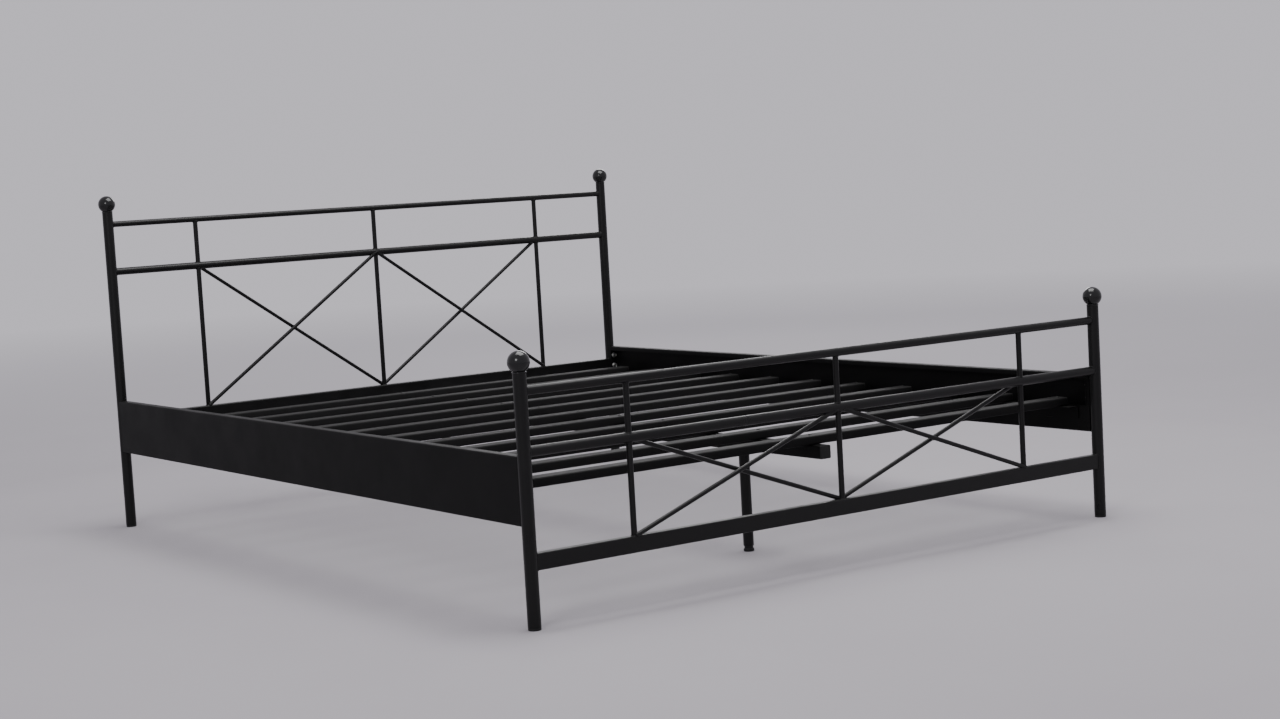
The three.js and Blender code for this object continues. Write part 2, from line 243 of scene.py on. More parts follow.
def densified(points, step):
    """Closed outline with extra points so that no side is longer than a step."""
    dense = []
    for index, start in enumerate(points):
        end = points[(index + 1) % len(points)]
        pieces = max(1, math.ceil(math.dist(start, end) / step))
        for k in range(pieces):
            share = k / pieces
            dense.append(tuple(a + (b - a) * share for a, b in zip(start, end)))
    return dense


def turned(outline, sides, centre=Vector(), way=Z_AXIS):
    """Body of revolution from (radius, height) pairs that do not touch the axis."""
    first, second = across(way)
    return loft([ring(centre + way * height, radius, first, second, sides) for radius, height in outline])


def turned_tube(outline, sides, centre=Vector(), way=Z_AXIS):
    """Hollow body of revolution from (radius, height) pairs that go round the wall."""
    first, second = across(way)
    rings = [ring(centre + way * height, radius, first, second, sides) for radius, height in outline]
    return torus_loft(rings)


def shaped_rings(levels, sides, centre, way):
    """Skin whose radius at each height is a function of the angle."""
    first, second = across(way)
    rings = []
    for radius_at, height in levels:
        corners = []
        for k in range(sides):
            angle = 2 * math.pi * k / sides
            spoke = radius_at(angle) * (math.cos(angle) * first + math.sin(angle) * second)
            corners.append(centre + way * height + spoke)
        rings.append(corners)
    return loft(rings)


def hexagon(across_flats):
    """Radius of a hexagon as a function of the angle."""
    sector = math.pi / 3
    return lambda angle: across_flats / 2 / math.cos((angle + sector / 2) % sector - sector / 2)


def cut_hexagon(across_flats, corner_radius):
    """Radius of a hexagon whose corners are turned down to a circle, as a function of the angle."""
    outline = hexagon(across_flats)
    return lambda angle: min(outline(angle), corner_radius)


def circle(radius):
    """Radius of a circle as a function of the angle."""
    return lambda angle: radius


# ---- tubes whose ends follow what they meet --------------------------------------

def round_surface(centre, axis, radius):
    """Outside of a round bar, as a function that gives where a line meets it."""
    def hits(point, way):
        flat_way = way - axis * way.dot(axis)
        offset = (point - centre) - axis * (point - centre).dot(axis)
        square = flat_way.length_squared
        if square < 1e-12:
            return []
        half = flat_way.dot(offset)
        root = half * half - square * (offset.length_squared - radius * radius)
        if root < 0:
            return []
        distance = (-half - math.sqrt(root)) / square
        return [distance] if distance > 0 else []
    return hits


def flat_surface(centre, normal):
    """Plane, as a function that gives where a line meets it."""
    def hits(point, way):
        slope = way.dot(normal)
        if abs(slope) < 1e-9:
            return []
        distance = (centre - point).dot(normal) / slope
        return [distance] if distance > 0 else []
    return hits


def coped_rims(start, end, radius, start_on, end_on, sides):
    """The two end rims of a round tube that is cut to fit the surfaces it meets."""
    way = (end - start).normalized()
    centre = (start + end) / 2
    rims = ([], [])
    for point in ring(centre, radius, *across(way), sides):
        for rim, direction, surfaces in ((rims[0], -way, start_on), (rims[1], way, end_on)):
            reach = min(distance for surface in surfaces for distance in surface(point, direction))
            rim.append(point + direction * reach)
    return rims


def weld_bead(rim, radius=WELD_RADIUS):
    """Small rippled bead along a closed rim."""
    count = len(rim)
    centre = sum(rim, Vector()) / count
    rings = []
    for index, point in enumerate(rim):
        tangent = (rim[(index + 1) % count] - rim[index - 1]).normalized()
        outward = point - centre
        outward = (outward - tangent * outward.dot(tangent)).normalized()
        ripple = 1 + WELD_RIPPLE * math.sin(index * 2 * math.pi / 3)
        rings.append(ring(point, radius * ripple, outward, tangent.cross(outward), WELD_SIDES))
    return torus_loft(rings)


# ---- materials ------------------------------------------------------------------------

class Shader:
    """Short way to write a node material."""

    def __init__(self, name):
        self.material = bpy.data.materials.new(name)
        self.material.use_nodes = True
        self.nodes = self.material.node_tree.nodes
        self.links = self.material.node_tree.links
        self.surface = self.nodes["Principled BSDF"]
        self.place = self.nodes.new("ShaderNodeTexCoord").outputs["Object"]

    def node(self, kind, settings=None, **inputs):
        """Adds a node, sets its properties and fills or links its inputs."""
        node = self.nodes.new(kind)
        for key, value in (settings or {}).items():
            setattr(node, key, value)
        for key, value in inputs.items():
            self.feed(node.inputs[key.replace("_", " ")], value)
        return node

    def feed(self, socket, value):
        """Links an output to a socket, or sets the socket's own value."""
        if isinstance(value, bpy.types.NodeSocket):
            self.links.new(value, socket)
        else:
            socket.default_value = value

    def noise(self, scale, detail=4.0, roughness=0.5, vector=None):
        """Noise in object space, from 0 to 1."""
        node = self.node("ShaderNodeTexNoise", Scale=scale, Detail=detail, Roughness=roughness,
                         Vector=vector or self.place)
        return node.outputs["Fac"]

    def stretched(self, x, y, z):
        """Object coordinates scaled differently along each axis."""
        node = self.node("ShaderNodeMapping", Vector=self.place, Scale=(x, y, z))
        return node.outputs["Vector"]

    def spread(self, value, low, high, to_low=0.0, to_high=1.0):
        """Maps a range of a value onto another range, with the ends held."""
        node = self.node("ShaderNodeMapRange", {"clamp": True})
        for index, number in enumerate((value, low, high, to_low, to_high)):
            self.feed(node.inputs[index], number)
        return node.outputs["Result"]

    def maths(self, operation, first, second=0.0):
        """One arithmetic step."""
        node = self.node("ShaderNodeMath", {"operation": operation})
        self.feed(node.inputs[0], first)
        self.feed(node.inputs[1], second)
        return node.outputs[0]

    def mix(self, factor, first, second):
        """Mixes two colours."""
        node = self.node("ShaderNodeMix", {"data_type": "RGBA"})
        self.feed(node.inputs[0], factor)
        self.feed(node.inputs[6], first)
        self.feed(node.inputs[7], second)
        return node.outputs[2]

    def bump(self, height, distance, strength=1.0, under=None):
        """Bump from a height, on top of another bump if one is given."""
        node = self.node("ShaderNodeBump", Height=height, Distance=distance, Strength=strength)
        if under is not None:
            self.feed(node.inputs["Normal"], under)
        return node.outputs["Normal"]

    def upward(self):
        """How far the surface faces up, from -1 to 1."""
        normal = self.node("ShaderNodeNewGeometry").outputs["Normal"]
        return self.node("ShaderNodeSeparateXYZ", Vector=normal).outputs["Z"]

    def finish(self, **sockets):
        """Sets or links the shader's own sockets and gives the material."""
        for key, value in sockets.items():
            self.feed(self.surface.inputs[key.replace("_", " ")], value)
        return self.material


def grey(value, warm=0.0):
    """A near-neutral colour, a little warmer or cooler."""
    return (value * (1 + warm), value, value * (1 - warm), 1.0)


def powder_coat(name, dark, light, rough, peel_scale, peel_depth, shine):
    """Black powder coat: orange peel, cloudy gloss, fine dust on top and faint scuffs."""
    shader = Shader(name)
    cloud = shader.noise(9.0, 5.0, 0.6)
    peel = shader.noise(peel_scale, 2.0, 0.45)
    scuffs = shader.noise(1.0, 3.0, 0.7, shader.stretched(260.0, 260.0, 38.0))
    scuffed = shader.spread(scuffs, 0.64, 0.72, 0.0, 0.5)
    dust_patches = shader.spread(shader.noise(34.0, 6.0, 0.7), 0.40, 0.75)
    dust = shader.maths("MULTIPLY", shader.spread(shader.upward(), 0.35, 1.0, 0.0, 0.10), dust_patches)
    speck = shader.spread(shader.noise(1500.0, 2.0, 0.8), 0.70, 0.80, 0.0, 0.30)
    base = shader.mix(cloud, grey(dark), grey(light))
    base = shader.mix(scuffed, base, grey(light * 2.0, 0.01))
    base = shader.mix(speck, base, grey(light * 2.6, 0.02))
    base = shader.mix(dust, base, grey(0.15, 0.04))
    gloss = shader.spread(cloud, 0.30, 0.72, rough - 0.06, rough + 0.06)
    gloss = shader.maths("ADD", gloss, shader.maths("MULTIPLY", scuffed, 0.16))
    gloss = shader.maths("ADD", gloss, dust)
    normal = shader.bump(peel, peel_depth, 0.55)
    normal = shader.bump(scuffs, 0.05 * MM, 0.25, normal)
    return shader.finish(Base_Color=base, Roughness=gloss, Normal=normal, Specular_IOR_Level=shine)


def gloss_lacquer(name):
    """High-gloss black lacquer with smudges and faint polishing marks."""
    shader = Shader(name)
    smudge = shader.noise(120.0, 4.0, 0.6)
    marks = shader.noise(1.0, 2.0, 0.6, shader.stretched(900.0, 900.0, 120.0))
    base = shader.mix(smudge, grey(0.004, -0.05), grey(0.008, -0.03))
    rough = shader.spread(smudge, 0.35, 0.75, 0.10, 0.24)
    rough = shader.maths("ADD", rough, shader.spread(marks, 0.60, 0.72, 0.0, 0.06))
    normal = shader.bump(shader.noise(420.0, 2.0, 0.4), 0.12 * MM, 0.25)
    return shader.finish(Base_Color=base, Roughness=rough, Normal=normal, Specular_IOR_Level=0.28,
                         Coat_Weight=0.20, Coat_Roughness=0.05)


def moulded_plastic(name):
    """Black polypropylene with a fine spark-eroded grain and patches of pale scuffs."""
    shader = Shader(name)
    grain = shader.noise(2600.0, 2.0, 0.6)
    rubbed = shader.spread(shader.noise(160.0, 5.0, 0.75), 0.58, 0.74, 0.0, 0.45)
    base = shader.mix(rubbed, grey(0.010), grey(0.040, 0.03))
    rough = shader.spread(grain, 0.3, 0.7, 0.50, 0.66)
    normal = shader.bump(grain, 0.15 * MM, 0.6)
    return shader.finish(Base_Color=base, Roughness=rough, Normal=normal, Specular_IOR_Level=0.3)


def zinc_plate(name):
    """Bright zinc plate with cloudy passivation and turning marks."""
    shader = Shader(name)
    cloud = shader.noise(170.0, 5.0, 0.65)
    lines = shader.noise(1.0, 2.0, 0.5, shader.stretched(120.0, 2600.0, 120.0))
    base = shader.mix(cloud, (0.50, 0.51, 0.50, 1.0), (0.66, 0.66, 0.62, 1.0))
    dull = shader.spread(shader.noise(420.0, 4.0, 0.7), 0.55, 0.75, 0.0, 0.5)
    base = shader.mix(dull, base, (0.30, 0.30, 0.29, 1.0))
    rough = shader.maths("ADD", shader.spread(cloud, 0.3, 0.7, 0.24, 0.40),
                         shader.maths("MULTIPLY", dull, 0.25))
    normal = shader.bump(lines, 0.06 * MM, 0.4)
    return shader.finish(Base_Color=base, Roughness=rough, Normal=normal, Metallic=1.0)


MATERIALS = {
    "frame_black": powder_coat("frame_black", dark=0.0026, light=0.0052, rough=0.33,
                               peel_scale=700.0, peel_depth=0.22 * MM, shine=0.24),
    "finial_gloss": gloss_lacquer("finial_gloss"),
    "rail_satin": powder_coat("rail_satin", dark=0.0024, light=0.0048, rough=0.46,
                              peel_scale=950.0, peel_depth=0.30 * MM, shine=0.07),
    # slat_black has a lighter base than the frame's black: a painted lift that stands in for light in the
    # shade under the bed
    "slat_black": powder_coat("slat_black", dark=0.0055, light=0.0100, rough=0.64,
                              peel_scale=900.0, peel_depth=0.28 * MM, shine=0.10),
    "black_plastic": moulded_plastic("black_plastic"),
    "zinc_steel": zinc_plate("zinc_steel"),
}


# ---- head and foot boards ----------------------------------------------------------------

def post_surface(end, hand):
    """The outside of a post, for the tubes that meet it."""
    post = f"{end}_post_{hand}"
    return round_surface(middle(post), Z_AXIS, size(post).x / 2)


def build_posts(end):
    """Posts with chamfered rims, a finial on top and a glide below each."""
    for hand in HANDS:
        post = f"{end}_post_{hand}"
        low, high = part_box(post)
        radius = size(post).x / 2
        axis = Vector((middle(post).x, middle(post).y, 0))
        outline = [
            (radius - RIM_CHAMFER, low.z),
            (radius, low.z + RIM_CHAMFER),
            (radius, high.z - RIM_CHAMFER),
            (radius - RIM_CHAMFER, high.z),
        ]
        add_piece(f"{post}_tube", [turned(outline, TUBE_SIDES, axis)], "frame_black", "frame", [post])
        build_finial(end, hand, axis, high.z)
        build_glide(end, hand, axis)


def build_finial(end, hand, axis, post_top):
    """Ball on a rounded collar with a fine groove between them."""
    node = f"{end}_finial_{hand}"
    radius = size(node).x / 2
    ball_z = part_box(node)[1].z - radius
    neck_z = ball_z - math.sqrt(radius ** 2 - NECK_RADIUS ** 2)
    collar_low = post_top + 0.1 * MM
    collar_high = neck_z - GROOVE_HEIGHT
    rounding = COLLAR_ROUNDING
    flat = COLLAR_RADIUS - rounding
    ball_start = math.asin(NECK_RADIUS / radius) - QUARTER
    outline = [(NECK_RADIUS, post_top - 1 * MM)]
    outline += arc(flat, collar_low + rounding, rounding, -QUARTER, 0.0, 4)
    outline += arc(flat, collar_high - rounding, rounding, 0.0, QUARTER, 4)
    outline += [(GROOVE_RADIUS, collar_high), (GROOVE_RADIUS, neck_z)]
    outline += arc(0.0, ball_z, radius, ball_start, QUARTER - 0.01, BALL_RINGS)
    add_piece(f"{node}_ball", [turned(outline, BALL_SIDES, axis)], "finial_gloss", "frame", [node])


def build_glide(end, hand, axis):
    """Plastic pad with a rounded foot and a parting step under the tube."""
    node = f"{end}_glide_{hand}"
    radius = size(node).x / 2
    pad_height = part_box(f"{end}_post_{hand}")[0].z
    rounding = 1.2 * MM
    flat = radius - rounding
    outline = [(flat - 4 * MM, 0.3 * MM), (flat - 3.4 * MM, 0.0)]
    outline += arc(flat, rounding, rounding, -QUARTER, 0.0, 5)
    outline += [(radius, pad_height - 0.4 * MM), (radius - 0.5 * MM, pad_height + 0.2 * MM)]
    add_piece(f"{node}_pad", [turned(outline, TUBE_SIDES, axis)], "black_plastic", "frame", [node])


def rail_surface(end, kind):
    """The outside of a round rail, for the bars and rods that meet it."""
    rail = f"{end}_{kind}_rail"
    return round_surface(middle(rail), X_AXIS, size(rail).z / 2)


def rail_top(end):
    """The flat top of a board's lower rail, for the bars and rods that stand on it."""
    return flat_surface(Vector((0, 0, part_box(f"{end}_lower_rail")[1].z)), Z_AXIS)


def build_board(end):
    """Rails, bars, rods and welds of one board, between its posts."""
    beads = []
    for kind in ("top", "middle"):
        beads += build_round_rail(end, kind)
    beads += build_lower_rail(end)
    for place in BARS:
        beads += build_bar(end, place)
    centre_x = middle(f"{end}_bar_centre").x
    y = middle(f"{end}_bar_centre").y
    crossing_z = (middle(f"{end}_middle_rail").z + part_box(f"{end}_lower_rail")[1].z) / 2
    for hand in HANDS:
        for kind in ("inner", "outer"):
            beads += build_rod(end, hand, kind)
        crossing_x = (centre_x + middle(f"{end}_bar_{hand}").x) / 2
        beads += crossing_welds(Vector((crossing_x, y, crossing_z)))
    add_piece(f"{end}_board_welds", beads, "frame_black", "frame", sharp=80)


def build_round_rail(end, kind):
    """Round rail between two posts, cut to fit them. Gives its welds."""
    node = f"{end}_{kind}_rail"
    posts = [middle(f"{end}_post_{hand}") for hand in HANDS]
    start, finish = (Vector((post.x, post.y, middle(node).z)) for post in posts)
    rims = coped_rims(start, finish, size(node).z / 2, [post_surface(end, "left")],
                      [post_surface(end, "right")], TUBE_SIDES)
    add_piece(f"{node}_tube", [loft(list(rims))], "frame_black", "frame", [node])
    return [weld_bead(rim) for rim in rims]


def build_bar(end, place):
    """Vertical bar from the lower rail, through the middle rail, to the top rail. Gives its welds."""
    node = f"{end}_bar_{place}"
    radius = size(node).x / 2
    heights = (
        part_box(f"{end}_lower_rail")[1].z,
        middle(f"{end}_middle_rail").z,
        middle(f"{end}_top_rail").z,
    )
    foot, crossing, top = (Vector((middle(node).x, middle(node).y, z)) for z in heights)
    through = rail_surface(end, "middle")
    lower = coped_rims(foot, crossing, radius, [rail_top(end)], [through], SMALL_SIDES)
    upper = coped_rims(crossing, top, radius, [through], [rail_surface(end, "top")], SMALL_SIDES)
    add_piece(f"{node}_tube", [loft([lower[0], upper[1]])], "frame_black", "frame", [node])
    return [weld_bead(rim) for rim in (*lower, *upper)]


def crossing_welds(place):
    """Two short beads in the corners where a pair of rods crosses."""
    half, offset = 4 * MM, 3.4 * MM
    beads = []
    for side in (-1, 1):
        line = [place + Vector((half * (k / 5 - 1), 0, side * offset)) for k in range(11)]
        beads.append(open_bead(line, 2.0 * MM))
    return beads


def build_rod(end, hand, kind):
    """One diagonal rod, from the middle rail down to the lower rail. Gives its welds."""
    node = f"{end}_rod_{hand}_{kind}"
    bars = {"centre": middle(f"{end}_bar_centre"), "outer": middle(f"{end}_bar_{hand}")}
    upper_bar, lower_bar = ("centre", "outer") if kind == "inner" else ("outer", "centre")
    y = middle(node).y
    top = Vector((bars[upper_bar].x, y, middle(f"{end}_middle_rail").z))
    bottom = Vector((bars[lower_bar].x, y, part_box(f"{end}_lower_rail")[1].z))
    bar_radius = size(f"{end}_bar_centre").x / 2

    def stops(bar, surface):
        return [surface, round_surface(bar, Z_AXIS, bar_radius), flat_surface(bar, X_AXIS)]

    rims = coped_rims(bottom, top, size(node).y / 2, stops(bars[lower_bar], rail_top(end)),
                      stops(bars[upper_bar], rail_surface(end, "middle")), SMALL_SIDES)
    add_piece(f"{node}_bar", [loft(list(rims))], "frame_black", "frame", [node])
    return [weld_bead(rim, 0.8 * WELD_RADIUS) for rim in rims]


def build_lower_rail(end):
    """Rectangular lower rail with round corners, cut to fit the posts. Gives its welds."""
    node = f"{end}_lower_rail"
    centre = middle(node)
    outline = densified(rounded_rectangle(size(node).y, size(node).z, TUBE_CORNER), TUBE_RIM_STEP)
    section = [centre + Vector((0, offset_y, offset_z)) for offset_y, offset_z in outline]
    rims = []
    for hand, way in (("left", -X_AXIS), ("right", X_AXIS)):
        post = post_surface(end, hand)
        rims.append([point + way * post(point, way)[0] for point in section])
    add_piece(f"{node}_tube", [loft(rims)], "frame_black", "frame", [node])
    return [weld_bead(rim) for rim in rims]


# ---- side rails and ledges -----------------------------------------------------------------

def folded(path):
    """Centre line of a folded sheet with round bends, as points with their side vectors."""
    line = [Vector(point) for point in path]
    smooth = [line[0]]
    for before, corner, after in zip(line, line[1:], line[2:]):
        arrive = (corner - before).normalized() * BEND_RADIUS
        leave = (after - corner).normalized() * BEND_RADIUS
        for k in range(CORNER_STEPS + 1):
            angle = QUARTER * k / CORNER_STEPS
            smooth.append(corner - arrive + arrive * math.sin(angle) + leave * (1 - math.cos(angle)))
    smooth.append(line[-1])
    points = []
    for start, finish in zip(smooth, smooth[1:]):
        pieces = max(1, math.ceil((finish - start).length / SHEET_STEP))
        points += [start.lerp(finish, k / pieces) for k in range(pieces)]
    points.append(smooth[-1])
    sides = []
    for index in range(len(points)):
        ahead = points[min(index + 1, len(points) - 1)]
        behind = points[max(index - 1, 0)]
        run = (ahead - behind).normalized()
        sides.append(Vector((-run.y, run.x)))
    return points, sides


def strip_loft(rings):
    """
    Solid between two rings, each of which goes out along one edge and back along the other.
    Its ends are closed by a strip of faces from edge to edge.
    """
    corners, faces = loft(rings, closed_ends=False)
    count = len(rings[0])
    for start in (0, count):
        for index in range(count // 2 - 1):
            faces.append((start + index, start + index + 1,
                          start + count - 2 - index, start + count - 1 - index))
    return corners, faces


def sheet_between(path, thickness, place, ends):
    """
    Folded sheet run between two ends. place turns (across, up, along) into a point,
    and each end is a function that gives how far along the sheet reaches at a place across it.
    """
    points, sides = folded(path)
    out = [point + side * thickness / 2 for point, side in zip(points, sides)]
    back = [point - side * thickness / 2 for point, side in zip(points, sides)]
    section = out + back[::-1]
    return strip_loft([[place(point.x, point.y, end(point.x)) for point in section] for end in ends])


def nearer_middle(along, distance):
    """Place along the bed that is a distance nearer its middle."""
    return along - math.copysign(distance, along)


def rail_reach(end, hand):
    """How far along a side rail runs at a place across it, as a function for one end of the rail."""
    post = f"{end}_post_{hand}"
    post_radius, post_y = size(post).x / 2, middle(post).y

    def reach(inward):
        cope = math.sqrt(max(post_radius ** 2 - inward ** 2, 0))
        if inward > RAIL_NOTCH_FROM:
            cope = max(cope, RAIL_NOTCH_REACH)
        return nearer_middle(post_y, cope)
    return reach


def build_side_rail(hand):
    """Folded channel with coped ends, a saddle block in each end and its welds."""
    node = f"side_rail_{hand}"
    post = middle(f"head_post_{hand}")
    inward = 1 if hand == "left" else -1
    low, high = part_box(node)
    inner = (size(node).x - RAIL_WALL) / 2
    bottom, top = low.z + RAIL_WALL / 2, high.z - RAIL_WALL / 2
    path = [
        (inner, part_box(f"slat_ledge_{hand}")[1].z + RAIL_LIP_ABOVE_LEDGE),
        (inner, bottom),
        (-inner, bottom),
        (-inner, top),
        (inner, top),
        (inner, high.z - RAIL_TOP_LIP),
    ]

    def place(sideways, up, along):
        return Vector((post.x + inward * sideways, along, up))

    reaches = {end: rail_reach(end, hand) for end in ("foot", "head")}
    parts = [sheet_between(path, RAIL_WALL, place, reaches.values())]
    beads = []
    half_width = inner - RAIL_WALL / 2 - SADDLE_GAP
    for end, reach in reaches.items():
        back = nearer_middle(middle(f"{end}_post_{hand}").y, SADDLE_BACK)
        block, bead = saddle(place, reach, back, half_width, low.z + RAIL_WALL, high.z - RAIL_WALL)
        parts.append(block)
        beads.append(bead)
    add_piece(f"{node}_channel", parts, "rail_satin", "frame", [node])
    add_piece(f"{node}_saddle_welds", beads, "rail_satin", "frame", sharp=80)


def saddle(place, reach, back, half_width, low, high):
    """Solid block in a rail's end, shaped to the post, and the weld round its inner side."""
    across_points = [half_width * (2 * k / SADDLE_STEPS - 1) for k in range(SADDLE_STEPS + 1)]
    outline = [(x, reach(x)) for x in across_points] + [(x, back) for x in reversed(across_points)]
    block = strip_loft([[place(x, z, y) for x, y in outline] for z in (low, high)])
    rim = densified(rounded_rectangle(2 * half_width, high - low, SEAM_CORNER), SEAM_STEP)
    seam = [place(x, z + (low + high) / 2, back) for x, z in rim]
    return block, weld_bead(seam, 0.9 * WELD_RADIUS)


def build_ledge(hand):
    """Folded angle under the slat ends, stitched to the side rail with short welds."""
    node = f"slat_ledge_{hand}"
    low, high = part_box(node)
    inward = 1 if hand == "left" else -1
    back = low.x if hand == "left" else high.x
    width, height = size(node).x, size(node).z
    path = [
        (LEDGE_WALL / 2, -height),
        (LEDGE_WALL / 2, -LEDGE_WALL / 2),
        (width, -LEDGE_WALL / 2),
    ]

    def place(sideways, up, along):
        return Vector((back + inward * sideways, along, high.z + up))

    angle = sheet_between(path, LEDGE_WALL, place, [lambda sideways: low.y, lambda sideways: high.y])
    add_piece(f"{node}_angle", [angle], "rail_satin", "frame", [node])
    stitches = []
    for k in range(STITCH_COUNT):
        along = low.y + (high.y - low.y) * (k + 0.5) / STITCH_COUNT
        line = [place(0, -height, along + STITCH_LENGTH * (s / 14 - 0.5)) for s in range(15)]
        stitches.append(open_bead(line, STITCH_RADIUS))
    add_piece(f"{node}_stitch_welds", stitches, "rail_satin", "frame", sharp=80)


def open_bead(line, radius):
    """Short rippled bead with tapered ends along an open line."""
    way = (line[-1] - line[0]).normalized()
    first, second = across(way)
    last = len(line) - 1
    rings = []
    for index, point in enumerate(line):
        swell = math.sin(math.pi * (index + 0.35) / (last + 0.7)) ** 0.4
        ripple = 1 + WELD_RIPPLE * math.sin(index * 2 * math.pi / 3)
        rings.append(ring(point, radius * swell * ripple, first, second, WELD_SIDES))
    return loft(rings)


def build_bolt(end, hand, level):
    """Hexagon bolt with a chamfered head and a washer face, driven from inside a rail."""
    node = f"rail_bolt_{end}_{hand}_{level}"
    low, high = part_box(node)
    way, head_top = (-Y_AXIS, low.y) if end == "head" else (Y_AXIS, high.y)
    centre = Vector((middle(node).x, head_top, middle(node).z))
    washer = size(node).x / 2
    flange = -BOLT_HEAD - BOLT_FLANGE
    levels = [
        (circle(SHANK_RADIUS), flange - BOLT_SHANK),
        (circle(SHANK_RADIUS), flange),
        (circle(washer - 0.3 * MM), flange),
        (circle(washer), flange + 0.3 * MM),
        (circle(washer), -BOLT_HEAD - 0.4 * MM),
        (circle(washer - 0.5 * MM), -BOLT_HEAD),
        (hexagon(BOLT_FLATS), -BOLT_HEAD),
        (hexagon(BOLT_FLATS), -0.7 * MM),
        (cut_hexagon(BOLT_FLATS, BOLT_CORNER_CUT), 0.0),
        (circle(4.6 * MM), 0.0),
        (circle(4.2 * MM), -0.4 * MM),
    ]
    add_piece(f"{node}_hex", [shaped_rings(levels, 48, centre, way)], "zinc_steel", "frame", [node])


# ---- centre beam, legs and slats ---------------------------------------------------------------

def box_tube(width, height, corner, wall, place, low, high):
    """Rectangular tube with a wall, open at both ends."""
    outer = rounded_rectangle(width, height, corner)
    inner = rounded_rectangle(width - 2 * wall, height - 2 * wall, corner - wall)
    rings = [
        [place(a, b, low) for a, b in outer],
        [place(a, b, high) for a, b in outer],
        [place(a, b, high) for a, b in inner],
        [place(a, b, low) for a, b in inner],
    ]
    return torus_loft(rings)


def end_plug(width, height, corner, place, at, outward):
    """Plastic plug with a domed face in the end of a rectangular tube."""
    rings = []
    # millimetres out from the tube's end, and in from its outside
    for out, inset in ((-2.0, 1.4), (0.0, 1.4), (0.0, 0.1), (0.9, 0.1), (1.5, 0.9), (1.7, 3.0)):
        shrink = 2 * inset * MM
        outline = rounded_rectangle(width - shrink, height - shrink, max(corner - inset * MM, 0.8 * MM))
        rings.append([place(a, b, at + outward * out * MM) for a, b in outline])
    return loft(rings)


def build_beam():
    """Square centre beam with plugged ends."""
    low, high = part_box("centre_beam")
    centre = middle("centre_beam")
    width, height = size("centre_beam").x, size("centre_beam").z

    def place(sideways, up, along):
        return Vector((sideways, along, centre.z + up))

    tube = box_tube(width, height, TUBE_CORNER, RAIL_WALL, place, low.y, high.y)
    add_piece("centre_beam_tube", [tube], "rail_satin", "frame", ["centre_beam"])
    ends = ((low.y, -1), (high.y, 1))
    plugs = [end_plug(width, height, TUBE_CORNER, place, at, outward) for at, outward in ends]
    add_piece("centre_beam_plugs", plugs, "black_plastic", "frame")


def build_leg(end):
    """Centre leg: tube with a nut inside, and a welded head plate with two screws."""
    node = f"centre_leg_{end}_end"
    low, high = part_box(node)
    axis = Vector((0, middle(node).y, 0))
    # the levelling foot's disc is as wide as the leg's tube
    radius = size(f"levelling_foot_{end}_end").x / 2
    bore = radius - LEG_WALL
    plate_low = high.z - LEG_PLATE
    tube = turned_tube([
        (bore, low.z + RIM_CHAMFER),
        (bore + RIM_CHAMFER, low.z),
        (radius - RIM_CHAMFER, low.z),
        (radius, low.z + RIM_CHAMFER),
        (radius, plate_low),
        (bore, plate_low),
    ], TUBE_SIDES, axis)
    nut = turned_tube([(NUT_BORE, NUT_LOW), (bore, NUT_LOW), (bore, NUT_HIGH), (NUT_BORE, NUT_HIGH)],
                      TUBE_SIDES, axis)
    plate = chamfered_plate(size(node).x, size(node).y, axis, plate_low, high.z)
    add_piece(f"{node}_tube", [tube, nut, plate], "frame_black", "frame", [node])
    rim = ring(axis + Z_AXIS * plate_low, radius, X_AXIS, Y_AXIS, TUBE_SIDES)
    add_piece(f"{node}_weld", [weld_bead(rim, 1.2 * WELD_RADIUS)], "frame_black", "frame", sharp=80)
    reach = size(node).y / 2 - LEG_SCREW_INSET
    seats = [axis + Vector((0, side * reach, plate_low)) for side in (-1, 1)]
    screws = [button_screw(seat, -Z_AXIS) for seat in seats]
    add_piece(f"{node}_screws", screws, "zinc_steel", "frame")


def chamfered_plate(width, length, axis, low, high, chamfer=0.5 * MM):
    """Flat plate with round corners and a small chamfer round both faces."""
    flat = rounded_rectangle(width, length, LEG_PLATE_CORNER, 6)
    small = rounded_rectangle(width - 2 * chamfer, length - 2 * chamfer, LEG_PLATE_CORNER - chamfer, 6)
    levels = ((small, low), (flat, low + chamfer), (flat, high - chamfer), (small, high))
    return loft([[axis + Vector((x, y, z)) for x, y in outline] for outline, z in levels])


def button_screw(seat, way):
    """Button-head screw with a hexagon socket, seated at a point and facing a direction."""
    head, tall = SCREW_HEAD_RADIUS, SCREW_HEAD_HEIGHT
    levels = [(circle(0.9 * head), -0.4 * MM), (circle(head), 0.0), (circle(head), 0.25 * MM)]
    for k in range(1, 6):
        angle = QUARTER * k / 6
        levels.append((circle(head * math.cos(angle) ** 0.8), tall * math.sin(angle)))
    levels += [
        (circle(0.55 * head), tall),
        (hexagon(0.9 * head), tall),
        (hexagon(0.82 * head), tall - 1.4 * MM),
    ]
    return shaped_rings(levels, 24, seat, way)


